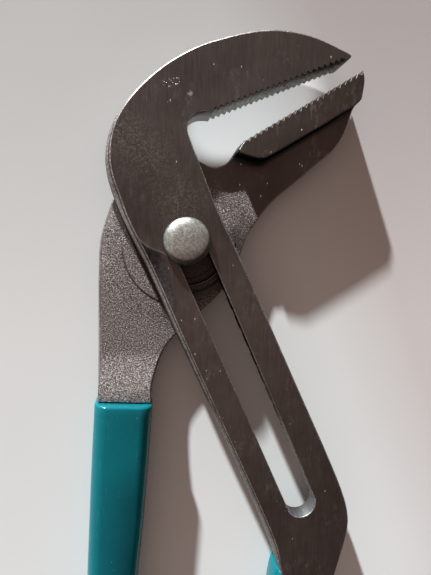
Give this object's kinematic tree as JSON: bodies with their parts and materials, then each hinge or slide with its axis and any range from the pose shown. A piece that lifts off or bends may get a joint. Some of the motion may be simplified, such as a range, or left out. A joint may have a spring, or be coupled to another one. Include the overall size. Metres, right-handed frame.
{
  "type": "slotted locking pliers",
  "caption": "Steel tongue-and-groove locking pliers with a long slotted arm, toothed jaws, a sliding pivot bolt and dipped vinyl grips.",
  "frame": {"origin": "on the pivot axis at rest, in the plane that the tool lies on, at the flat end of the pivot bolt", "axes": "+Y from the grips towards the jaws along the tool's length, +X towards the jaw tips, +Z along the pivot axis from the nut to the bolt's domed head"},
  "size_m": [0.0942, 0.3029, 0.0181],
  "materials": {
    "ground_steel": "ground flat and oiled, dark, with fine grinding lines and small nicks",
    "forged_steel": "shot-blasted forging with ground jaw faces",
    "zinc_plate": "satin zinc plating",
    "dipped_vinyl": "glossy teal dipped vinyl"
  },
  "bodies": {
    "upper_jaw": {"slotted_upper_jaw_arm": "ground_steel", "upper_arm_grip": "dipped_vinyl"},
    "pivot": {"pivot_bolt": "zinc_plate", "spring_washer": "zinc_plate", "pivot_nut": "zinc_plate"},
    "lower_jaw": {"lower_jaw_arm": "forged_steel", "lower_arm_grip": "dipped_vinyl"}
  },
  "joints": [
    {"name": "slot_slide", "type": "slide", "parent": "upper_jaw", "child": "pivot", "axis": [0.3972, -0.9178, 0], "range_m": [0, 0.084]},
    {"name": "jaw_hinge", "type": "hinge", "parent": "pivot", "child": "lower_jaw", "pos_m": [0, 0, 0], "axis": [0, 0, -1], "range_deg": [-2.5, 40]}
  ]
}
